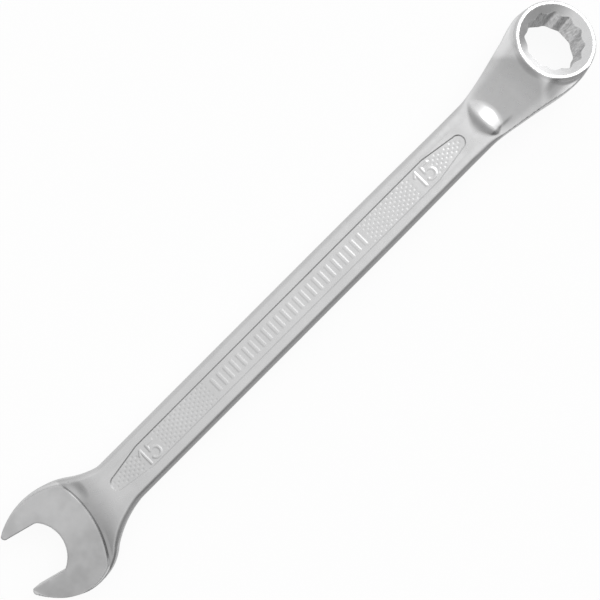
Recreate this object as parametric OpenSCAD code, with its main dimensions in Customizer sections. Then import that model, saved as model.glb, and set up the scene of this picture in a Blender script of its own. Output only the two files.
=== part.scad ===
// Combination wrench: one drop forging with an open jaw at one end and a
// tilted twelve-point ring at the other.
// Origin: the point where the axis of the ring crosses the middle plane of
// the shank. The shank runs a little to one side of it. +X runs along the shank towards the ring, +Z is up and out of
// the face that the ring stands proud of.

/* [Wrench size] */
// Nut size, measured across its flats
across_flats = 15; // [14:0.5:16]
// Working clearance added to the nut size in the open jaw
jaw_clearance = 0.2; // [0.1:0.05:0.4]
// Working clearance added to the nut size in the ring
ring_clearance = 0.12; // [0.05:0.01:0.3]
// Distance from the ring axis to the centre of the nut in the jaw, along X
centre_distance = 197.2; // [170:0.1:230]

/* [Open jaw head] */
// Thickness of the ground jaw faces, top to bottom
head_t = 6.6; // [6:0.1:7.5]
// Angle of the jaw opening off the shank
jaw_angle = 15; // [12:0.5:18]
// Sideways offset of the nut centre off the line through the ring axis
jaw_offset = 1.7; // [1.3:0.02:2.3]
// Outside radius of the lower prong and the back of the head
head_r_low = 15.94; // [15.5:0.01:16.5]
// Outside radius of the upper prong
head_r_up = 21.94; // [21.5:0.01:22.8]
// Radius of the throat behind the nut
throat_r = 9.0; // [8.8:0.05:9.2]
// Radius that rounds the tip of each prong
tip_r = 1.2; // [0.8:0.1:1.4]
// Chamfer round the outside edge of the head
head_chamfer = 0.5; // [0.2:0.1:0.8]
// Radius of the curved edge where each ground jaw face ends
land_r = 29.4; // [28:0.2:31]
// Depth of the scoop behind the ground jaw faces
scoop_d = 0.8; // [0.4:0.1:1.1]

/* [Shank] */
// Width of the shank
shank_w = 14.8; // [14:0.1:15.5]
// Thickness of the shank
shank_t = 6.4; // [5.8:0.1:6.6]
// Sideways offset of the shank off the line through the ring axis
shank_shift = 0.7; // [0:0.05:1]
// Radius along the four long edges of the shank
edge_r = 1.2; // [0.8:0.1:2]
// Radius that flares the shank into the upper side of the head
flare_r_up = 18.5; // [17:0.5:20]
// Radius that flares the shank into the lower side of the head
flare_r_low = 27; // [25:0.5:30]

/* [Recessed panels] */
// Depth of the recessed panel in each face of the shank
panel_d = 0.45; // [0.2:0.05:0.8]
// Width of the recessed panel
panel_w = 7.7; // [6:0.1:8.5]
// Width of the panel at its two rounded ends
panel_end_w = 4.4; // [3.4:0.1:5.4]
// Height of the raised ribs and numerals above the panel floor
relief_h = 0.2; // [0.1:0.05:0.4]
// Number of raised ribs in the middle of each panel
rib_count = 24; // [12:1:28]

/* [Ring] */
// Diameter of the ring at its two faces
ring_od = 22.76; // [22.2:0.02:24]
// How far the ring wall swells beyond its faces at mid height
ring_draft = 1.05; // [0.2:0.05:1.3]
// Length of the ring along its own axis
ring_t = 10.45; // [9.5:0.05:11.5]
// Tilt of the ring away from the shank
ring_tilt = 15; // [10:0.5:16]
// Height of the upper ring face above the origin, along the ring axis
ring_rise = 7.76; // [7:0.02:8.4]
// Mouth radius of the lead-in cone at the upper ring face
mouth_r_up = 10.24; // [9.8:0.02:10.4]
// Mouth radius of the lead-in cone at the lower ring face
mouth_r_low = 9.5; // [9:0.05:10.2]
// Turn of the twelve points about the ring axis
ring_phase = 11; // [0:1:29]
// Chamfer round the two outside edges of the ring
ring_chamfer = 0.5; // [0.3:0.1:0.8]

/* [Neck between shank and ring] */
// Height of the step where the neck starts
step_h = 1.15; // [0.6:0.05:1.4]
// Slope of the upper side of the neck, rise over run
neck_slope = 0.42; // [0.34:0.01:0.46]
// Lift of the under side of the neck at the ring
neck_lift = 4; // [3:0.1:4.6]

/* [Hidden] */
$fn = 96;

steel = [0.76, 0.76, 0.77];

gap = (across_flats + jaw_clearance) / 2;          // half the jaw opening
nut = [-centre_distance, jaw_offset];              // nut centre in the jaw
od = [-cos(jaw_angle), sin(jaw_angle)];            // way out of the jaw
nn = [sin(jaw_angle), cos(jaw_angle)];             // square to the jaw flats
c_low = nut + [7.8, -1.99];                       // centre of the lower prong arc
c_up = nut + [7.44, -8.63];                        // centre of the upper prong arc
head_h = head_t / 2;
shank_h = shank_t / 2;
half_w = shank_w / 2;
flare_x_up = nut[0] + 31.35;                        // flares meet the shank here
flare_x_low = nut[0] + 32.75;
neck_x = -31;                                      // the neck leaves the shank here
ring_r = ring_od / 2;
ring_floor = ring_rise - ring_t;
point_h = (across_flats + ring_clearance) / 2;     // half the ring's flat distance
point_r = point_h / cos(30);                       // corners of the twelve points
valley_r = point_h / cos(15);                      // between the points

function lerp(a, b, t) = a + (b - a) * t;
function clamp01(t) = min(1, max(0, t));
function smooth(t) = let (s = clamp01(t)) s * s * (3 - 2 * s);
function unit(v) = v / norm(v);
function arc(c, r, a0, a1, n) =
    [for (i = [0:n]) let (a = lerp(a0, a1, i / n)) c + r * [cos(a), sin(a)]];
function dir_angle(v) = atan2(v[1], v[0]);

// Centre of a tip rounding that touches a jaw flat from outside the opening
// (side is +1 for the upper prong) and the outside arc from inside.
function tip_centre(side, c, r) =
    let (d = nut + side * (gap + tip_r) * nn - c,
         k = d * od,
         a = -k + sqrt(k * k - d * d + pow(r - tip_r, 2)))
    nut + a * od + side * (gap + tip_r) * nn;

// Outline of the head seen from above, with the jaw already open.
function head_outline() =
    let (fl = tip_centre(-1, c_low, head_r_low),
         fu = tip_centre(1, c_up, head_r_up),
         nd = dir_angle(nn), od_a = dir_angle(od),
         al = dir_angle(fl - c_low), au = dir_angle(fu - c_up),
         tc = nut + 0.3 * od,
         ta = asin(gap / throat_r))
    concat(
        // lower prong, from the neck round to its tip
        arc(c_low, head_r_low, 0, al < 0 ? al : al - 360, 40),
        // rounding of the lower tip, ending on the lower flat
        arc(fl, tip_r, al < 0 ? al + 360 : al, nd, 8),
        // throat behind the nut, from the lower flat to the upper flat
        [for (i = [0:24]) let (a = od_a + 180 + lerp(-ta, ta, i / 24))
            tc + throat_r * [cos(a), sin(a)]],
        // rounding of the upper tip, starting on the upper flat
        arc(fu, tip_r, nd + 180, au, 8),
        // upper prong, back to the neck
        arc(c_up, head_r_up, au, 17.2, 36));

// A round disc with both outside edges chamfered.
module chamfered_disc(c, r, h, ch) {
    translate([c[0], c[1], 0])
        rotate_extrude()
            polygon([[0, -h], [r - ch, -h], [r, -h + ch], [r, h - ch], [r - ch, h], [0, h]]);
}

// The ground jaw faces end on a large arc. The rest of the head is scooped.
module head() {
    intersection() {
        linear_extrude(height = head_t, center = true) polygon(head_outline());
        chamfered_disc(c_up, head_r_up, head_h, head_chamfer);
        union() {
            chamfered_disc(c_low, head_r_low, head_h, head_chamfer);
            translate([nut[0] - 30, c_low[1], -head_t]) cube([60, 40, 2 * head_t]);
        }
        union() {
            translate([nut[0] + 19 - land_r, jaw_offset + 2.3, -head_t])
                cylinder(r = land_r, h = 2 * head_t, $fn = 180);
            cube([4 * centre_distance, 80, head_t - 2 * scoop_d], center = true);
        }
    }
}

// Section of the shank: a rectangle with its four edges rounded.
function corner(cy, cz, a0) =
    [for (i = [0:5]) let (a = a0 + i * 18) [cy + edge_r * cos(a), cz + edge_r * sin(a)]];
function shank_section() =
    concat(corner(half_w - edge_r, shank_h - edge_r, 0),
           corner(edge_r - half_w, shank_h - edge_r, 90),
           corner(edge_r - half_w, edge_r - shank_h, 180),
           corner(half_w - edge_r, edge_r - shank_h, 270));

module shank() {
    translate([flare_x_up + 1, -shank_shift, 0])
        rotate([90, 0, 90])
            linear_extrude(height = neck_x - flare_x_up - 1)
                polygon(shank_section());
}

// Half width of the bar on each side, and the height of its two faces.
function flare(x, x0, r) = x >= x0 ? 0 : r - sqrt(max(0, r * r - pow(x0 - x, 2)));
function neck_flare(x) = x <= -27 ? 0 : 0.26 * pow(x + 27, 2) / (x + 35);
function width_max(x, w) = x < -12 ? w : min(w, ring_r + ring_draft - 0.3);
function width_up(x) = width_max(x, half_w + flare(x, flare_x_up, flare_r_up) + neck_flare(x));
function width_low(x) = width_max(x, half_w + flare(x, flare_x_low, flare_r_low) + neck_flare(x));
// Middle line of the bar, drawn back to the ring axis where the ring starts.
function mid_y(x) = -shank_shift * (1 - smooth((x + 14) / 12));
// The neck stays just under the plane of the upper ring face.
function under_ring(x, z) = x < -16 ? z : min(z, (ring_rise - 0.4 - x * sin(ring_tilt)) / cos(ring_tilt));
function scoop(x) = (shank_h - head_h + scoop_d) * (1 - smooth((x - nut[0] - 17) / 13));
function step_top(x) =
    step_h * smooth((x - neck_x) / 5)
    - 0.22 * smooth((x - neck_x - 6) / 2.5) * (1 - smooth((x - neck_x - 8.5) / 4))
    + neck_slope * max(0, x + 22) * smooth((x + 23) / 5);
function face_top(x, y, w) =
    under_ring(x, shank_h - scoop(x) + step_top(x))
    - 0.55 * smooth((x - neck_x) / 5) * smooth((abs(y) - w * 0.62) / (w * 0.3))
    - 1.2 * smooth((x + 13) / 9) * smooth((abs(y) - w * 0.4) / (w * 0.55));
function face_low(x) =
    -shank_h + scoop(x) + neck_lift * smooth((x - neck_x) / 23);

// One section of the bar at x: points run round it from the +Y side.
top_t = [for (i = [0:10]) 1 - i / 5];
function bar_section(x) =
    let (wu = width_up(x) - edge_r, wl = width_low(x) - edge_r, m = mid_y(x),
         zb = face_low(x), wm = (wu + wl) / 2)
    concat(
        [for (i = [0:4]) let (a = i * 18)
            [x, m + wu + edge_r * cos(a), face_top(x, wu, wm) - edge_r + edge_r * sin(a)]],
        [for (t = top_t) let (y = t > 0 ? t * wu : t * wl) [x, m + y, face_top(x, y, wm)]],
        [for (i = [1:5]) let (a = 90 + i * 18)
            [x, m - wl + edge_r * cos(a), face_top(x, -wl, wm) - edge_r + edge_r * sin(a)]],
        [for (i = [0:4]) let (a = 180 + i * 18)
            [x, m - wl + edge_r * cos(a), zb + edge_r + edge_r * sin(a)]],
        [for (t = [-1, 0, 1]) [x, m + (t > 0 ? wu : t * wl), zb]],
        [for (i = [1:5]) let (a = 270 + i * 18)
            [x, m + wu + edge_r * cos(a), zb + edge_r + edge_r * sin(a)]]);

// A closed bar through a list of x stations.
module bar(xs) {
    n = len(bar_section(xs[0]));
    m = len(xs);
    polyhedron(
        points = [for (x = xs) each bar_section(x)],
        faces = concat(
            [[for (i = [0:n - 1]) i]],
            [[for (i = [n - 1:-1:0]) (m - 1) * n + i]],
            [for (k = [0:m - 2], i = [0:n - 1]) let (j = (i + 1) % n)
                [k * n + j, k * n + i, (k + 1) * n + i]],
            [for (k = [0:m - 2], i = [0:n - 1]) let (j = (i + 1) % n)
                [k * n + j, (k + 1) * n + i, (k + 1) * n + j]]));
}

// Flare that carries the shank into the head.
module head_flare() {
    x0 = nut[0] + 18.2;
    x1 = flare_x_low + 2;
    bar([for (i = [0:11]) lerp(x0, x1, i / 11)]);
}

// Neck that steps up off the shank and widens into the ring.
module ring_neck() {
    bar(concat([for (i = [0:12]) neck_x - 1 + i], [for (i = [1:10]) neck_x + 11 + i * 1.8]));
}

module ring_blank() {
    rotate([0, ring_tilt, 0])
        rotate_extrude()
            polygon([[0, ring_floor], [ring_r - ring_chamfer, ring_floor],
                     [ring_r, ring_floor + ring_chamfer],
                     [ring_r + ring_draft, (ring_rise + ring_floor) / 2],
                     [ring_r, ring_rise - ring_chamfer],
                     [ring_r - ring_chamfer, ring_rise], [0, ring_rise]]);
}

// Twelve-point socket through the ring, with a lead-in cone at each mouth.
module ring_socket() {
    lead_up = (mouth_r_up - valley_r + 0.1) / 2.2;
    lead_low = mouth_r_low - valley_r + 0.1;
    rotate([0, ring_tilt, 0]) {
        rotate([0, 0, ring_phase])
            translate([0, 0, ring_floor - 8])
                linear_extrude(height = ring_t + 16)
                    polygon([for (i = [0:23])
                        (i % 2 == 0 ? point_r : valley_r) * [cos(15 * i), sin(15 * i)]]);
        translate([0, 0, ring_rise - lead_up])
            cylinder(h = lead_up, r1 = valley_r - 0.1, r2 = mouth_r_up);
        translate([0, 0, ring_floor])
            cylinder(h = lead_low, r1 = mouth_r_low, r2 = valley_r - 0.1);
        // clear anything standing above or below the two ring mouths
        translate([0, 0, ring_rise]) cylinder(h = 8, r = mouth_r_up);
        translate([0, 0, ring_floor - 8]) cylinder(h = 8, r = mouth_r_low);
    }
}

// Outline of the recessed panel, seen from above.
panel_x0 = nut[0] + 28.2 + panel_end_w / 2;
panel_x1 = -33.2 - panel_end_w / 2;
panel_mid = (panel_x0 + panel_x1) / 2;
module panel_shape() {
    polygon([[panel_x0, panel_end_w / 2], [panel_x0, -panel_end_w / 2],
             [panel_x0 + 10.5, -panel_w / 2], [panel_x1 - 11, -panel_w / 2],
             [panel_x1, -panel_end_w / 2], [panel_x1, panel_end_w / 2],
             [panel_x1 - 11, panel_w / 2], [panel_x0 + 10.5, panel_w / 2]]);
    translate([panel_x0, 0]) circle(d = panel_end_w, $fn = 48);
    translate([panel_x1, 0]) circle(d = panel_end_w, $fn = 48);
}

// The size numeral in plain square strokes, 5.2 high.
module numeral_one() {
    translate([-0.4, -2.6]) square([0.8, 5.2]);
    polygon([[-0.4, 2.6], [-0.4, 1.6], [-1.3, 1.0], [-1.3, 1.8]]);
}
module numeral_five() {
    translate([-1.3, 1.8]) square([2.6, 0.8]);
    translate([-1.3, -0.2]) square([0.8, 2.4]);
    translate([-1.3, -0.2]) square([2.2, 0.8]);
    translate([0.6, -2.2]) square([0.8, 2.4]);
    translate([-1.3, -2.6]) square([2.3, 0.8]);
}
module numerals() {
    translate([-1.9, 0]) numeral_one();
    translate([1.4, 0]) numeral_five();
}

// Everything that stands up from the panel floor.
module panel_relief() {
    for (x = [panel_x0 + 11.85, panel_x1 - 12.5])
        translate([x, 0]) numerals();
    for (i = [0:rib_count - 1])
        translate([panel_mid + (i - (rib_count - 1) / 2) * 2.45 - 0.5, -2.1]) square([1.0, 4.2]);
}

module panel_cut() {
    difference() {
        translate([0, 0, shank_h - panel_d])
            linear_extrude(height = panel_d + 1) panel_shape();
        translate([0, 0, shank_h - panel_d - 0.2])
            linear_extrude(height = relief_h + 0.2) panel_relief();
    }
}

module wrench_forging() {
    color(steel)
    difference() {
        union() {
            head();
            head_flare();
            shank();
            ring_neck();
            ring_blank();
        }
        ring_socket();
        // the same panel on both faces, each read from its own side
        translate([0, 0.1 - shank_shift, 0]) {
            panel_cut();
            rotate([180, 0, 0]) panel_cut();
        }
        // keep the jaw open past the flare
        translate([nut[0], nut[1], -10])
            rotate([0, 0, -jaw_angle]) translate([-30, -gap, 0]) cube([30, 2 * gap, 20]);
    }
}

wrench_forging();
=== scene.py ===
import math

import bpy
from mathutils import Matrix, Vector
import math
import numpy as np


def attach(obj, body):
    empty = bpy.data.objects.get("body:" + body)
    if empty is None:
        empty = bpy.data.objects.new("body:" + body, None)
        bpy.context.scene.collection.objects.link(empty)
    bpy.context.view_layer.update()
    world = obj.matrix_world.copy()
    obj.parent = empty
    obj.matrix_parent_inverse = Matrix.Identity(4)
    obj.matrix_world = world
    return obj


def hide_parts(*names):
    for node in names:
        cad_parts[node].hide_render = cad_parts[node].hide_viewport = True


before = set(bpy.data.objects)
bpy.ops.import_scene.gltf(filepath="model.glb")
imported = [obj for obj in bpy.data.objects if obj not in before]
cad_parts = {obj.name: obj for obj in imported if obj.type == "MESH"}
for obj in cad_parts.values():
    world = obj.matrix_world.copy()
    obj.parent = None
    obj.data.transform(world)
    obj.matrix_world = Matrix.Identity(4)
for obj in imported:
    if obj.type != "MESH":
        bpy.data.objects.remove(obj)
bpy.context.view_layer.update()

# ---------------------------------------------------------------- shape rules (mm, row frame)
NUT = np.array([-197.20, 1.70]); GAP = 7.60; JA = np.radians(15.0)
OD = np.array([-np.cos(JA), np.sin(JA)]); NN = np.array([np.sin(JA), np.cos(JA)])
C_LOW, R_LOW = (-189.48, -1.63), 14.67           # outside arcs of the head
C_TIP, R_TIP = (-187.18, 3.17), 19.93
C_UP, R_UP = (-189.76, -6.93), 21.94
F_LOW, Q_LOW, T_LOW = (-163.38, -37.53), 29.80, -180.9   # hollow arcs of the flare, and where they start
F_UP, Q_UP, T_UP = (-162.46, 30.54), 24.42, -176.8
LAND_C, LAND_R = (-207.58, 3.98), 29.37
HEAD_H, SHANK_H = 3.3, 3.2
TILT = np.radians(15.0)
RN = np.array([np.sin(TILT), 0.0, np.cos(TILT)]); RE = np.array([np.cos(TILT), 0.0, -np.sin(TILT)])
RING_R, RING_W, RISE, FLOOR = 11.40, 12.45, 7.76, 7.76 - 10.45
PH = np.radians(11.0)


def S(t):
    t = np.clip(t, 0.0, 1.0)
    return t * t * (3.0 - 2.0 * t)


def smin(a, b, k):
    h = np.clip(0.5 + 0.5 * (b - a) / k, 0.0, 1.0)
    return b + (a - b) * h - k * h * (1.0 - h)


def smax(a, b, k):
    return -smin(-a, -b, k)


def rmax(a, b, r):
    """Intersection whose outer corner is a true arc of radius r."""
    return np.minimum(np.maximum(a, b), -r) + np.hypot(np.maximum(a + r, 0.0), np.maximum(b + r, 0.0))


def softplus(t, k):
    return 0.5 * (t + np.sqrt(t * t + k * k))


def mid_line(x):
    """Middle line of the bar: it runs a little to one side of the ring."""
    return np.where(x < -32.0, -0.515 - 0.003 * (x + 160.0),
                    -0.899 - 0.05 * S((x + 32.0) / 6.0) + 0.15 * S((x + 20.0) / 8.0) + 0.55 * S((x + 10.0) / 10.0))


def half_width(x):
    t = np.maximum(x + 28.0, 0.0)
    w = 7.34 - 0.26 * S((x + 75.0) / 45.0) + 0.255 * t * t / (t + 6.5)
    return smin(w, 12.5, 1.2)


def outline(x, y):
    """Plan distance to the edge of head, flare and bar, before the jaw is cut."""
    up = np.hypot(x - C_UP[0], y - C_UP[1]) - R_UP
    lo, lt = np.hypot(x - C_LOW[0], y - C_LOW[1]) - R_LOW, np.hypot(x - C_TIP[0], y - C_TIP[1]) - R_TIP
    lo = lt + (lo - lt) * S((x + 197.0) / 6.0)
    fu = np.where(x > T_UP, Q_UP - np.hypot(x - F_UP[0], y - F_UP[1]), 9.0)
    fl = np.where(x > T_LOW, Q_LOW - np.hypot(x - F_LOW[0], y - F_LOW[1]), 9.0)
    fu = np.where(x > F_UP[0], 9.0, fu)
    fl = np.where(x > F_LOW[0], 9.0, fl)
    strip = np.abs(y - mid_line(x)) - half_width(x)
    d = np.where(y > 0.25, np.minimum(up, fu), np.minimum(lo, fl))
    k = np.maximum(0.25 * (1.0 - S((x + 171.0) / 6.5)), 1e-3)
    return np.where(x < -163.5, smin(d, np.where(x < -182.0, 9.0, strip), k), strip)


def jaw(x, y):
    """Below zero in the open jaw."""
    qx, qy = x - NUT[0], y - NUT[1]
    o, n = qx * OD[0] + qy * OD[1], qx * NN[0] + qy * NN[1]
    throat = np.minimum(np.hypot(o - 0.6, n + 0.25) - 9.30, -o)
    return rmax(np.abs(n) - GAP, throat, 0.3)


def tip(x, y, d, side, c, r_arc, r):
    """Round the end of a prong with an arc that touches both the jaw flat and the outside arc."""
    c = np.array(c)
    q = NUT + side * (GAP + r) * NN - c
    k = q @ OD
    m = c + q + (-k + math.sqrt(k * k - q @ q + (r_arc - r) ** 2)) * OD
    u = (m - c) / np.hypot(*(m - c))
    t = np.array([-u[1], u[0]]) * (1.0 if -u[1] * OD[0] + u[0] * OD[1] > 0 else -1.0)
    rx, ry = x - m[0], y - m[1]
    inside = (rx * OD[0] + ry * OD[1] > 0) & (rx * t[0] + ry * t[1] > 0)
    inside &= side * ((x - NUT[0]) * NN[0] + (y - NUT[1]) * NN[1]) > 0
    return np.where(inside & (x < -194.0), np.hypot(rx, ry) - r, d)


def land_distance(x, y):
    """Below zero on the ground jaw face."""
    a = np.hypot(x - LAND_C[0], y - LAND_C[1]) - LAND_R
    b = np.hypot(x - C_UP[0] + 1.15, y - C_UP[1] - 0.1) - R_UP + 0.85
    c = np.hypot(x - C_LOW[0] + 0.9, y - C_LOW[1]) - R_LOW + 0.6
    return smax(a, np.where(y > 0.25, b, c), 0.2)


PX0, PX1, PE, PW = -167.0, -35.4, 2.2, 3.85


def panel_distance(x, y):
    """Below zero inside the recessed panel: a long plate that tapers to two rounded ends."""
    a = np.abs(y)

    def taper(xe, s, run):
        t = (x - xe) * s
        L = np.hypot(run, PW - PE)
        return t * -(PW - PE) / L + (a - PE) * run / L
    d = np.maximum(a - PW, np.maximum(taper(PX0, 1.0, 10.5), taper(PX1, -1.0, 10.5)))
    d = np.maximum(d, np.maximum(PX0 - x, x - PX1))
    return np.minimum(d, np.minimum(np.hypot(x - PX0, y) - PE, np.hypot(x - PX1, y) - PE))


def seg(x, y, x0, y0, x1, y1):
    dx, dy = x1 - x0, y1 - y0
    t = np.clip(((x - x0) * dx + (y - y0) * dy) / (dx * dx + dy * dy), 0, 1)
    return np.hypot(x - x0 - t * dx, y - y0 - t * dy)


def numeral_distance(x, y):
    """Centre line distance of a plain 15, 5.2 high, centred on the origin."""
    one = np.minimum(seg(x, y, -1.75, -2.35, -1.75, 2.35), seg(x, y, -1.75, 2.35, -2.7, 1.35))
    bar = np.minimum(seg(x, y, 0.45, 2.35, 2.65, 2.35), seg(x, y, 0.45, 2.35, 0.35, 0.35))
    cx, cy, r = 1.25, -0.85, 1.5
    ang = np.arctan2(y - cy, x - cx)
    on = (ang > np.radians(-152)) & (ang < np.radians(127))
    ring = np.abs(np.hypot(x - cx, y - cy) - r)
    e0 = np.hypot(x - cx - r * np.cos(np.radians(-152)), y - cy - r * np.sin(np.radians(-152)))
    e1 = np.hypot(x - cx - r * np.cos(np.radians(127)), y - cy - r * np.sin(np.radians(127)))
    bowl = np.where(on, ring, np.minimum(e0, e1))
    return np.minimum(one, np.minimum(bar, bowl))


NUMERAL = ((-154.95, -0.40), (-47.9, 0.20))
RIB_X0, RIB_N, RIB_P = -100.85 - 23 * 2.45 / 2, 24, 2.45
PEB = ((-168.6, -158.6), (-151.3, -131.6), (-71.0, -51.6), (-44.4, -33.6))


def relief(x, y):
    """Height above the panel floor: ribs, numerals and the pebbled patches."""
    k = np.clip(np.round((x - RIB_X0) / RIB_P), 0, RIB_N - 1)
    qx, qy = np.abs(x - RIB_X0 - k * RIB_P), np.abs(y)
    d = np.hypot(np.maximum(qx - 0.12, 0), np.maximum(qy - 1.72, 0)) - 0.36
    h = 0.085 * S(0.5 - d / 0.60)
    for nx, ny in NUMERAL:
        h = np.maximum(h, 0.12 * S(0.5 - (numeral_distance(x - nx, y - ny) - 0.34) / 0.50))
    # shallow pits on a staggered lattice
    row = np.round(y / 0.74)
    best = np.full(h.shape, 9.0)
    for dr in (-1, 0, 1):
        r_ = row + dr
        off = np.where(np.mod(r_, 2) == 0, 0.0, 1.03)
        cx = np.round((x - off) / 2.06) * 2.06 + off
        inside = np.zeros(h.shape, bool)
        for a, b in PEB:
            inside |= (cx > a) & (cx < b)
        cy = r_ * 0.74
        ok = inside & (panel_distance(cx, cy) < -0.75)
        for nx, ny in NUMERAL:
            ok &= ~((np.abs(cx - nx) < 3.4) & (np.abs(cy - ny) < 3.1))
        best = np.minimum(best, np.where(ok, np.hypot(x - cx, y - cy), 9.0))
    return h - PIT_D * S(1.0 - best / 0.52)


PANEL_D, WALL, PIT_D = 0.30, 0.34, 0.060


def panel_depth(x, y):
    """How far the flat face drops at (x, y) for the panel, less what stands on its floor."""
    v = y - mid_line(x) - 0.1
    dp = panel_distance(x, v)
    wall = np.clip(-dp / WALL, 0.0, 1.0)
    return PANEL_D * wall - np.where(dp < -WALL, relief(x, v), 0.0)


def scoop(x, y):
    """Hollow behind the ground jaw face, with a deeper dent beside its upper corner."""
    d = np.maximum(land_distance(x, y), 0.0)
    h = 0.62 * (1.0 - np.clip(d / 9.5, 0.0, 1.0)) ** 2
    q = np.hypot((x + 176.6) / 2.6, (y - 6.0) / 4.2)
    return h + 0.34 * S(1.0 - q) + 0.20 * S((d - 0.2) / 1.2) * S((-y - 3.0) / 9.0) * S((-168.0 - x) / 8.0)


def rails(x, y):
    """The strips beside the panel are long rounded rails."""
    v = np.abs(y - mid_line(x))
    return 0.10 * (np.maximum(v, 3.75) - 5.15) ** 2 * S((x + 172.0) / 8.0) * (1.0 - S((x + 37.0) / 6.0))


def edge_drop(x, y):
    """Slight crown of the broad faces, and the sloped flanks of the neck."""
    v = np.abs(y - mid_line(x))
    flank = softplus(v - 5.9, 0.6) - softplus(-5.9 + 0 * v, 0.6)
    return 0.06 * np.clip(v / 7.4, 0, 1.3) ** 2 + rails(x, y) + 0.17 * flank * S((x + 27.0) / 9.0)


def hump(x, y):
    """The rounded nose where the raised neck starts."""
    v = y - mid_line(x) + 0.55
    rise = 0.15 * np.maximum(x + 30.5 - 0.03 * v * v, 0.0) ** 2
    fall = 1.66 - 0.150 * (x + 26.7)
    a = smin(rise, fall, 1.0)
    b = (v / 6.9) ** 2 + 0.25 * S((-v - 4.0) / 2.0)
    return a - 1.55 * b


def tops(x, y):
    """Upper face height of the shank, flare and neck."""
    v = np.abs(y - mid_line(x))
    neck = np.where(x > -34.0, 0.405 * (softplus(x + 24.6, 2.0) - softplus(-34.0 + 24.6, 2.0))
                    + 0.008 * np.maximum(x + 16.0, 0.0) ** 2, 0.0)
    neck = np.where(x > -22.0, smin(neck, 4.9 + 2.3 * (1.0 - S((v - 3.0) / 8.5)), 1.0), neck)
    base = SHANK_H - edge_drop(x, y) + neck
    nose = SHANK_H + hump(x, y)
    k = 0.02 + 0.30 * S((x + 31.0) / 3.0)
    top = np.where((x > -31.0) & (x < -16.0), smax(base, np.where(x > -16.0, -9.0, nose), k), base)
    return top - np.where(x < -160.0, scoop(x, y), 0.0) - panel_depth(x, y)


def lows(x, y):
    m = 2.0 * mid_line(x) - y
    return (-SHANK_H + rails(x, y) + 0.06 * np.clip(np.abs(y - mid_line(x)) / 7.4, 0, 1.3) ** 2 + 4.1 * S((x + 31.0) / 24.0)
            + np.where(x < -160.0, scoop(x, y), 0.0) + panel_depth(x, m))


def plan2d(x, y):
    """Everything of the bar and the head that depends on x and y alone."""
    d = outline(x, y)
    d = np.where(x < -182.0, np.maximum(d, -jaw(x, y)), d)
    d = tip(x, y, tip(x, y, d, 1.0, C_UP, R_UP, 1.15), -1.0, C_TIP, R_TIP, 1.15)
    zt, zb = tops(x, y), lows(x, y)
    ld = land_distance(x, y)
    land = np.where(x < -170.0, np.clip(0.5 - ld / 0.16, 0.0, 1.0), 0.0)
    zt, zb = zt + (HEAD_H - zt) * land, zb + (-HEAD_H - zb) * land
    r = 0.35 + 1.35 * S((x + 190.0) / 16.0) - 1.42 * S((x + 31.0) / 8.0)
    return d, zt, zb, r


def ring_coords(x, y, z):
    s = x * RN[0] + z * RN[2]
    p = x * RE[0] + z * RE[2]
    return s, p, y + 0.15


def socket(s, p, q):
    rad = np.hypot(p, q)
    h = 7.56
    ca, sa = np.cos(PH), np.sin(PH)
    u, v = p * ca + q * sa, -p * sa + q * ca

    def hexa(a0):
        d = None
        for i in range(3):
            t = a0 + np.radians(30 + 60 * i)
            e = np.abs(u * np.cos(t) + v * np.sin(t)) - h
            d = e if d is None else smax(d, e, 0.5)
        return d
    star = smin(hexa(0.0), hexa(np.radians(30.0)), 0.25)
    cone_up = (rad - 10.42 + 2.2 * (RISE - s)) / 2.417
    cone_lo = (rad - 9.5 + 1.0 * (s - FLOOR)) / 1.4142
    d = np.minimum(star, smin(cone_up, cone_lo, 0.1))
    d = np.minimum(d, np.maximum(rad - 10.42, RISE - s))
    return np.minimum(d, np.maximum(rad - 9.5, s - FLOOR))


def ring(x, y, z):
    """Ring wall with draft on both sides of its widest line."""
    s, p, q = ring_coords(x, y, z)
    rad = np.hypot(p, q)
    up = (rad - RING_R - (RING_W - RING_R) * (RISE - s) / 5.3) / 1.014
    dn = (rad - RING_R - (RING_W - RING_R) * (s - FLOOR) / 5.15) / 1.014
    side = rmax(up, dn, 1.5)
    mid, hh = 0.5 * (RISE + FLOOR), 0.5 * (RISE - FLOOR)
    return rmax(side, np.abs(s - mid) - hh, 0.42), s, p, q


def wrench(x, y, z, pre=None):
    d, zt, zb, r = pre if pre is not None else plan2d(x, y)
    c, h = 0.5 * (zt + zb), 0.5 * (zt - zb)
    b = rmax(d, np.abs(z - c) - h, r)
    xr = np.broadcast_to(x, b.shape) > -24.0
    g, s, p, q = ring(x, y, z)
    # the bar ends inside the ring, just under its upper face
    ends = np.maximum(np.hypot(np.maximum(x + 3.0, 0.0), y + 0.35) - 12.35, s - RISE + 0.30)
    b = np.where(xr, rmax(b, ends, 0.5), b)
    f = np.where(xr, np.maximum(smin(b, g, 1.0), s - RISE), b)
    near = np.broadcast_to(x, b.shape) > -16.0
    return np.where(near, np.maximum(f, -socket(s, p, q)), f)


# ---------------------------------------------------------------- surface extraction
def lines(spans):
    """Grid lines from (start, end, step) spans that follow on from each other."""
    out = [spans[0][0]]
    for a, b, h in spans:
        n = max(1, int(round((b - a) / h)))
        out += list(a + (b - a) * (np.arange(n) + 1) / n)
    return np.array(out)


def gradient(f, P, e=0.004):
    g = np.empty_like(P)
    for k in range(3):
        d = np.zeros(3); d[k] = e
        a, b = P + d, P - d
        g[:, k] = f(a[:, 0], a[:, 1], a[:, 2]) - f(b[:, 0], b[:, 1], b[:, 2])
    n = np.linalg.norm(g, axis=1)
    return g / np.maximum(n, 1e-9)[:, None]


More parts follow.
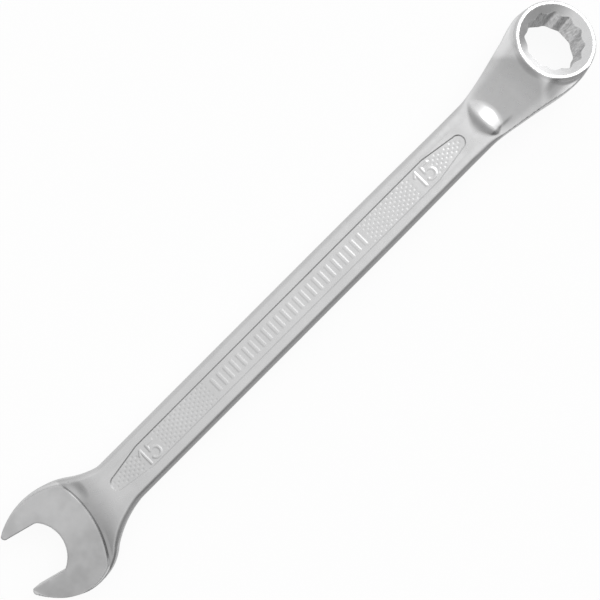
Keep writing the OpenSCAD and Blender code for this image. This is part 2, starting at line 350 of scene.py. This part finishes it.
def extract(f, xs, ys, zs, F):
    """Dual contouring: one vertex per cell the surface passes, placed where the local tangent planes meet."""
    nx, ny, nz = len(xs), len(ys), len(zs)
    inside = F < 0
    cx, cy, cz = nx - 1, ny - 1, nz - 1
    edges, pts = [], []
    for ax in range(3):
        a = [slice(None)] * 3; b = [slice(None)] * 3
        a[ax] = slice(0, -1); b[ax] = slice(1, None)
        m = inside[tuple(a)] != inside[tuple(b)]
        i, j, k = np.nonzero(m)
        f0 = F[tuple(a)][m].astype(float); f1 = F[tuple(b)][m].astype(float)
        P0 = np.stack([xs[i], ys[j], zs[k]], 1)
        P1 = P0.copy(); P1[:, ax] = (xs, ys, zs)[ax][(i, j, k)[ax] + 1]
        t0, t1 = np.zeros(len(i)), np.ones(len(i))
        t = np.clip(f0 / (f0 - f1), 0.02, 0.98)
        for it in range(7):
            P = P0 + (P1 - P0) * t[:, None]
            fm = f(P[:, 0], P[:, 1], P[:, 2])
            same = (fm < 0) == (f0 < 0)
            t0 = np.where(same, t, t0); ff0 = np.where(same, fm, f0)
            t1 = np.where(same, t1, t); ff1 = np.where(same, f1, fm)
            f0_, f1_ = ff0, ff1
            f0n, f1n = f0_, f1_
            lin = t0 + (t1 - t0) * np.clip(f0n / np.where(np.abs(f0n - f1n) < 1e-12, 1e-12, f0n - f1n), 0.05, 0.95)
            t = lin if it % 2 == 0 else 0.5 * (t0 + t1)
            f0, f1 = f0n, f1n
        P = P0 + (P1 - P0) * t[:, None]
        edges.append((ax, i, j, k, inside[tuple(a)][m]))
        pts.append(P)
    allP = np.concatenate(pts)
    N = gradient(f, allP)
    # cells round each edge
    cell_id = lambda i, j, k: (i * cy + j) * cz + k
    cells, owner, quads = [], [], []
    base = 0
    for (ax, i, j, k, ins), P in zip(edges, pts):
        o1, o2 = [(1, 2), (2, 0), (0, 1)][ax]
        idx = np.stack([i, j, k], 1)
        ring4 = []
        for d1, d2 in ((0, 0), (-1, 0), (-1, -1), (0, -1)):
            q = idx.copy(); q[:, o1] += d1; q[:, o2] += d2
            ring4.append(cell_id(q[:, 0], q[:, 1], q[:, 2]))
        r4 = np.stack(ring4, 1)
        lo = np.all(idx[:, [o1, o2]] > 0, axis=1)
        assert lo.all(), "the surface reaches the edge of the grid"
        cells.append(r4.ravel()); owner.append(np.repeat(np.arange(len(i)) + base, 4))
        quads.append(np.where(ins[:, None], r4, r4[:, ::-1]))
        base += len(i)
    cells = np.concatenate(cells); owner = np.concatenate(owner); quads = np.concatenate(quads)
    uniq, inv = np.unique(cells, return_inverse=True)
    n = len(uniq)
    Pc, Nc = allP[owner], N[owner]
    cnt = np.bincount(inv, minlength=n).astype(float)
    mass = np.stack([np.bincount(inv, Pc[:, c], n) for c in range(3)], 1) / cnt[:, None]
    A = np.zeros((n, 3, 3)); rhs = np.zeros((n, 3))
    off = Pc - mass[inv]
    dist = (Nc * off).sum(1)
    for a in range(3):
        rhs[:, a] = np.bincount(inv, Nc[:, a] * dist, n)
        for b in range(a, 3):
            A[:, a, b] = A[:, b, a] = np.bincount(inv, Nc[:, a] * Nc[:, b], n)
    w, V = np.linalg.eigh(A / cnt[:, None, None])
    rr = np.einsum("nij,ni->nj", V, rhs / cnt[:, None])
    keep = w > 0.035
    sol = np.where(keep, rr / np.where(keep, w, 1.0), 0.0)
    X = mass + np.einsum("nij,nj->ni", V, sol)
    ci = uniq // (cy * cz); cj = (uniq // cz) % cy; ck = uniq % cz
    lo = np.stack([xs[ci], ys[cj], zs[ck]], 1); hi = np.stack([xs[ci + 1], ys[cj + 1], zs[ck + 1]], 1)
    pad = 0.0
    X = np.clip(X, lo + pad, hi - pad)
    Q = np.searchsorted(uniq, quads)
    return X, Q


# ---------------------------------------------------------------- the forging
GRID_X = [(-206.93, -170.0, 0.42), (-170.0, -32.0, 0.35), (-32.0, -12.0, 0.42), (-12.0, 14.0, 0.29)]
GRID_Y = [(-17.33, -5.1, 0.345), (-5.1, 3.8, 0.31), (3.8, 16.30, 0.338)]
GRID_Z = [(-6.2, -3.5, 0.4), (-3.5, -2.3, 0.3), (-2.3, 2.3, 0.66), (2.3, 3.5, 0.3), (3.5, 11.2, 0.4)]
xs, ys, zs = lines(GRID_X), lines(GRID_Y), lines(GRID_Z)
gx, gy = xs[:, None], ys[None, :]
pre = tuple(np.broadcast_to(a, (len(xs), len(ys)))[:, :, None] for a in plan2d(gx, gy))
field = wrench(xs[:, None, None], ys[None, :, None], zs[None, None, :], pre)
verts, quads = extract(wrench, xs, ys, zs, field)

# shading normals come from the shape itself, taken just inside each face's corners, so that edges stay crisp
centre = verts[quads].mean(axis=1, keepdims=True)
corner = verts[quads] + 0.3 * (centre - verts[quads])
normal = gradient(wrench, corner.reshape(-1, 3), 0.01)

mesh = bpy.data.meshes.new("wrench_body")
mesh.vertices.add(len(verts))
mesh.vertices.foreach_set("co", (verts / 1000.0).astype(np.float32).ravel())
mesh.loops.add(quads.size)
mesh.loops.foreach_set("vertex_index", quads.astype(np.int32).ravel())
mesh.polygons.add(len(quads))
mesh.polygons.foreach_set("loop_start", (np.arange(len(quads)) * 4).astype(np.int32))
mesh.polygons.foreach_set("use_smooth", np.ones(len(quads), bool))
mesh.update(calc_edges=True)
mesh.validate()
mesh.normals_split_custom_set(normal.tolist())

# what the material needs to know about each place: ground jaw faces, flutes, neck flanks with painted light, and the
# ring's mouth cone and the hump crease with painted light and shade
vx, vy, vz = verts.T
land = ((np.abs(vz) > 3.2) & (vx < -176.0) & (land_distance(vx, vy) < 0.25)).astype(np.float32)
rs, rp, rq = ring_coords(vx, vy, vz)
bore = ((vx > -16.0) & (np.hypot(rp, rq) < 8.78) & (rs < RISE - 0.6)).astype(np.float32)
# chamfer cone at the mouth of the ring: painted shade on the +Y side, painted light towards the shank
rr = np.hypot(rp, rq)
at_cone = (vx > -16.0) & (rr < 10.39) & (rr > 7.9) & (rs > RISE - 1.25) & (rs < RISE + 0.05)
lead = np.where(at_cone, -0.34 * S((rq - 0.5) / 6.5) + 0.16 * S((-rp - 1.0) / 6.0) * S((7.0 - rq) / 4.0), 0.0)
# painted shade: a thin dark line along the crease at the -Y foot of the neck hump, upper face only
lead = lead - 0.34 * np.exp(-((vy + 6.05 + 0.05 * (vx + 23.0)) / 0.42) ** 2) * S((vx + 26.0) / 1.8) * (1.0 - S((vx + 22.5) / 3.0)) * (vz > 0.0)
bore = np.where(at_cone, 0.0, bore)
# painted light: the sloped neck flanks beside the raised middle are made lighter in the material
side_v = np.abs(vy - mid_line(vx)) - 5.3 - 0.10 * np.maximum(vx + 24.0, 0.0)
flank = S(side_v / 2.2) * S((vx + 29.0) / 6.0) * (vz > 0.0) * (np.hypot(rp, rq) > RING_R + 0.3)
for name, value in (("ground", land), ("bore", bore), ("flank", flank), ("lead", lead)):
    a = mesh.attributes.new(name, "FLOAT", "POINT")
    a.data.foreach_set("value", value.astype(np.float32))

wrench_ob = bpy.data.objects.new("wrench_body", mesh)
bpy.context.scene.collection.objects.link(wrench_ob)
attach(wrench_ob, "root")
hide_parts("wrench_forging")


# ---------------------------------------------------------------- material
class Nodes:
    def __init__(self, tree):
        self.t = tree
        tree.nodes.clear()

    def add(self, kind, **kw):
        n = self.t.nodes.new(kind)
        for k, v in kw.items():
            if k.startswith("_"):
                setattr(n, k[1:], v)
        for k, v in kw.items():
            if not k.startswith("_"):
                self.put(n, k, v)
        return n

    def put(self, n, key, v):
        s = n.inputs[int(key[1:])] if key[0] == "i" and key[1:].isdigit() else n.inputs[key.replace("__", " ")]
        if isinstance(v, bpy.types.NodeSocket):
            self.t.links.new(v, s)
        else:
            s.default_value = v

    def math(self, op, a, b=0.0, c=None, clamp=False):
        n = self.add("ShaderNodeMath", _operation=op, _use_clamp=clamp, i0=a, i1=b)
        if c is not None:
            self.put(n, "i2", c)
        return n.outputs[0]

    def ramp(self, v, a, b, lo=0.0, hi=1.0, kind="SMOOTHSTEP"):
        n = self.add("ShaderNodeMapRange", _interpolation_type=kind, _clamp=True)
        for k, s in zip(("Value", "From Min", "From Max", "To Min", "To Max"), (v, a, b, lo, hi)):
            self.put(n, k, s)
        return n.outputs[0]

    def mix(self, f, a, b):
        n = self.add("ShaderNodeMix", _data_type="RGBA", _blend_type="MIX")
        self.put(n, "i0", f); self.put(n, "i6", a); self.put(n, "i7", b)
        return n.outputs[2]


def grey(v, tint=(1.0, 1.0, 1.0)):
    return (v * tint[0], v * tint[1], v * tint[2], 1.0)


mat = bpy.data.materials.new("satin_chrome")
mat.use_nodes = True
N = Nodes(mat.node_tree)
out = N.add("ShaderNodeOutputMaterial")
bsdf = N.add("ShaderNodeBsdfPrincipled")
N.t.links.new(bsdf.outputs[0], out.inputs[0])
pos = N.add("ShaderNodeTexCoord").outputs["Object"]


def noise(scale, detail=2.0, rough=0.5, vec=None, stretch=None):
    v = pos if vec is None else vec
    if stretch is not None:
        m = N.add("ShaderNodeMapping")
        N.put(m, "Vector", v)
        m.inputs["Scale"].default_value = stretch
        v = m.outputs[0]
    n = N.add("ShaderNodeTexNoise", Scale=scale, Detail=detail, Roughness=rough)
    N.put(n, "Vector", v)
    return n.outputs["Fac"]


def attr(name):
    return N.add("ShaderNodeAttribute", _attribute_name=name).outputs["Fac"]


cloud = noise(95.0, 3.0, 0.55)                       # broad patches of the plating, about 10 mm
mottle = noise(520.0, 3.0, 0.6)                      # 2 mm mottling left by tumbling
grain = noise(5200.0, 2.0, 0.6)                      # 0.2 mm satin grain
lay = noise(900.0, 3.0, 0.6, stretch=(0.12, 1.0, 1.0))   # faint polishing lay along the shank
ground, bore = attr("ground"), attr("bore")
edge = N.ramp(N.add("ShaderNodeNewGeometry").outputs["Pointiness"], 0.505, 0.56)

tone = N.math("ADD", N.ramp(cloud, 0.3, 0.7, -0.018, 0.018, "LINEAR"), N.ramp(mottle, 0.3, 0.7, -0.014, 0.014, "LINEAR"))
tone = N.math("ADD", tone, N.math("MULTIPLY", edge, 0.045))
tone = N.math("ADD", tone, N.math("MULTIPLY", ground, -0.115))
# painted light on the neck flanks
tone = N.math("ADD", tone, N.math("MULTIPLY", attr("flank"), 0.16))
# painted light and shade on the ring's mouth cone, painted shade in the hump crease
tone = N.math("ADD", tone, attr("lead"))
streak = noise(2400.0, 3.0, 0.65, stretch=(1.0, 1.0, 0.05))   # broaching marks along the flutes
patch = noise(150.0, 2.0, 0.5)
tone = N.math("ADD", tone, N.math("MULTIPLY", ground, N.ramp(patch, 0.35, 0.65, -0.035, 0.05)))
tone = N.math("ADD", tone, N.math("MULTIPLY", bore, N.ramp(streak, 0.35, 0.65, -0.26, -0.02)))
px = N.add("ShaderNodeSeparateXYZ", i0=pos)
qx = N.math("ADD", px.outputs[0], -LAND_C[0] / 1000.0)
qy = N.math("ADD", px.outputs[1], -LAND_C[1] / 1000.0)
arc = N.math("SQRT", N.math("ADD", N.math("MULTIPLY", qx, qx), N.math("MULTIPLY", qy, qy)))
# painted shade: a thin dark line along the step just outside the ground jaw face, limited in Y and kept to the broad
# faces
past = N.math("ADD", arc, -(LAND_R + 0.16) / 1000.0)
line = N.ramp(N.math("ABSOLUTE", past), 0.00004, 0.00032, 1.0, 0.0)
broad = N.math("ABSOLUTE", px.outputs[2])
line = N.math("MULTIPLY", line, N.ramp(px.outputs[1], 0.0085, 0.0110, 1.0, 0.0))
line = N.math("MULTIPLY", line, N.ramp(px.outputs[1], -0.0140, -0.0120, 0.0, 1.0))
line = N.math("MULTIPLY", line, N.ramp(broad, 0.0015, 0.0020, 0.0, 1.0))
# painted shade: the hollow behind the ground jaw face darkens over 7.5 mm from its edge, deeper towards -Y, kept to the
# broad faces
hollow = N.math("MULTIPLY", N.ramp(past, 0.0, 0.0075, 1.0, 0.0), N.ramp(past, -0.0001, 0.0001, 0.0, 1.0))
hollow = N.math("MULTIPLY", hollow, N.ramp(px.outputs[0], -0.1700, -0.1670, 1.0, 0.0))
hollow = N.math("MULTIPLY", hollow, N.ramp(broad, 0.0015, 0.0020, 0.0, 1.0))
hollow = N.math("MULTIPLY", hollow, N.ramp(px.outputs[1], -0.0110, 0.0020, 2.0, 0.9))
tone = N.math("ADD", tone, N.math("MULTIPLY", ground, N.ramp(px.outputs[1], -0.0130, 0.0060, -0.075, 0.02)))
# the painted shade of the step line and of the hollow darkens the tone here
tone = N.math("ADD", tone, N.math("MULTIPLY", line, -0.34))
tone = N.math("ADD", tone, N.math("MULTIPLY", hollow, -0.16))
base = N.math("ADD", tone, 0.755)
rgb = N.add("ShaderNodeCombineColor", i0=base, i1=base, i2=N.math("MULTIPLY", base, 1.004))
N.put(bsdf, "Base Color", rgb.outputs[0])
N.put(bsdf, "Metallic", 1.0)
rough = N.math("ADD", N.ramp(mottle, 0.3, 0.7, -0.035, 0.035, "LINEAR"), N.ramp(lay, 0.3, 0.7, -0.025, 0.025, "LINEAR"))
rough = N.math("ADD", rough, N.math("MULTIPLY", ground, 0.05))
rough = N.math("ADD", rough, N.math("MULTIPLY", bore, 0.05))
rough = N.math("ADD", rough, N.math("MULTIPLY", edge, -0.06))
N.put(bsdf, "Roughness", N.math("ADD", rough, 0.30))
hgt = N.math("ADD", N.math("MULTIPLY", mottle, 0.55), N.math("MULTIPLY", grain, 0.10))
hgt = N.math("ADD", hgt, N.math("MULTIPLY", lay, 0.12))
bump = N.add("ShaderNodeBump", Strength=0.35, Distance=0.00006, Height=hgt)
N.put(bsdf, "Normal", bump.outputs[0])
mesh.materials.append(mat)

# ---------------------------------------------------------------- floor
lowest = float(verts[:, 2].min()) / 1000.0
half = 3.0
fm = bpy.data.meshes.new("floor")
fm.from_pydata([(-half, -half, lowest), (half, -half, lowest), (half, half, lowest), (-half, half, lowest)], [], [(0, 1, 2, 3)])
floor_ob = bpy.data.objects.new("floor", fm)
bpy.context.scene.collection.objects.link(floor_ob)
fmat = bpy.data.materials.new("pale_floor")
fmat.use_nodes = True
N = Nodes(fmat.node_tree)
out = N.add("ShaderNodeOutputMaterial")
see = N.add("ShaderNodeLightPath").outputs["Is Camera Ray"]
shade = N.ramp(see, 0.0, 1.0, 0.22, 0.09, "LINEAR")
diff = N.add("ShaderNodeBsdfDiffuse", Color=N.add("ShaderNodeCombineColor", i0=shade, i1=shade, i2=shade).outputs[0])
# for reflected rays the floor's glow is painted shadow and light by direction: darker for rays heading towards -Y,
# brighter for rays heading along +X or -X; camera rays see an even glow
back = N.add("ShaderNodeSeparateXYZ", i0=N.add("ShaderNodeNewGeometry").outputs["Incoming"]).outputs[1]
painted_floor_glow = N.ramp(back, 0.0, 0.75, 0.52, 0.22)
ahead = N.math("MULTIPLY", N.add("ShaderNodeSeparateXYZ", i0=N.add("ShaderNodeNewGeometry").outputs["Incoming"]).outputs[0], -1.0)
painted_floor_glow = N.math("ADD", painted_floor_glow, N.ramp(ahead, 0.60, 0.92, 0.0, 0.60))
painted_floor_glow = N.math("ADD", painted_floor_glow, N.ramp(ahead, -0.92, -0.60, 0.45, 0.0))
painted_floor_glow = N.math("ADD", N.math("MULTIPLY", painted_floor_glow, N.math("SUBTRACT", 1.0, see)), N.math("MULTIPLY", see, 0.915))
glow = N.add("ShaderNodeEmission", Color=grey(1.0), Strength=painted_floor_glow)
both = N.add("ShaderNodeAddShader", i0=diff.outputs[0], i1=glow.outputs[0])
N.t.links.new(both.outputs[0], out.inputs[0])
fm.materials.append(fmat)

# ---------------------------------------------------------------- studio light
world = bpy.data.worlds.new("studio")
bpy.context.scene.world = world
world.use_nodes = True
N = Nodes(world.node_tree)
out = N.add("ShaderNodeOutputWorld")
way = N.add("ShaderNodeSeparateXYZ", i0=N.add("ShaderNodeTexCoord").outputs["Generated"])
dx, dy, dz = way.outputs[0], way.outputs[1], way.outputs[2]
mx, my = N.math("MULTIPLY", dx, -1.0), N.math("MULTIPLY", dy, -1.0)
lum = N.math("SUBTRACT", 0.83, N.ramp(mx, 0.0, 0.95, 0.0, 0.48))
lum = N.math("SUBTRACT", lum, N.ramp(my, 0.42, 0.88, 0.0, 0.54))
lum = N.math("SUBTRACT", lum, N.ramp(dy, 0.55, 0.95, 0.0, 0.10))
lum = N.math("SUBTRACT", lum, N.ramp(dx, 0.80, 1.00, 0.0, 0.25))
bank = N.math("ADD", N.math("MULTIPLY", dx, math.sin(math.radians(44))), N.math("MULTIPLY", dz, math.cos(math.radians(44))))
lum = N.math("ADD", lum, N.ramp(bank, 0.906, 0.961, 0.0, 1.10))
lum = N.math("MAXIMUM", lum, 0.10)
cam = N.add("ShaderNodeLightPath").outputs["Is Camera Ray"]
lum = N.math("ADD", N.math("MULTIPLY", lum, N.math("SUBTRACT", 1.0, cam)), N.math("MULTIPLY", cam, 0.98))
bg = N.add("ShaderNodeBackground", Color=grey(1.0), Strength=lum)
N.t.links.new(bg.outputs[0], out.inputs[0])


def softbox(name, at, aim, size, power):
    d = bpy.data.lights.new(name, "AREA")
    d.shape, d.size, d.size_y, d.energy = "RECTANGLE", size[0], size[1], power
    o = bpy.data.objects.new(name, d)
    bpy.context.scene.collection.objects.link(o)
    o.location = Vector(at)
    o.rotation_euler = (Vector(aim) - Vector(at)).to_track_quat("-Z", "Y").to_euler()
    return o


softbox("key", (0.85, 0.05, 0.95), (-0.09, 0, 0), (0.35, 0.35), 1.2)

# ---------------------------------------------------------------- camera
eye = np.array([-0.09442, -0.0138863, 0.2991353])
r = np.array([0.0452, 0.0065, -0.0031])
th = np.linalg.norm(r); k = r / th
K = np.array([[0, -k[2], k[1]], [k[2], 0, -k[0]], [-k[1], k[0], 0]])
R = np.eye(3) + np.sin(th) * K + (1 - np.cos(th)) * K @ K
q = math.sqrt(0.5)
B = np.array([[q, -q, 0], [-q, -q, 0], [0, 0, -1.0]]) @ R.T
m = np.eye(4)
m[:3, 0], m[:3, 1], m[:3, 2], m[:3, 3] = B[0], -B[1], -B[2], eye
cd = bpy.data.cameras.new("camera")
cd.sensor_fit, cd.sensor_width, cd.lens = "HORIZONTAL", 36.0, 65.008
cd.clip_start, cd.clip_end = 0.01, 20.0
co = bpy.data.objects.new("camera", cd)
bpy.context.scene.collection.objects.link(co)
co.matrix_world = Matrix(m.tolist())
bpy.context.scene.camera = co
bpy.context.scene.view_settings.view_transform = "Standard"
bpy.context.scene.view_settings.look = "None"

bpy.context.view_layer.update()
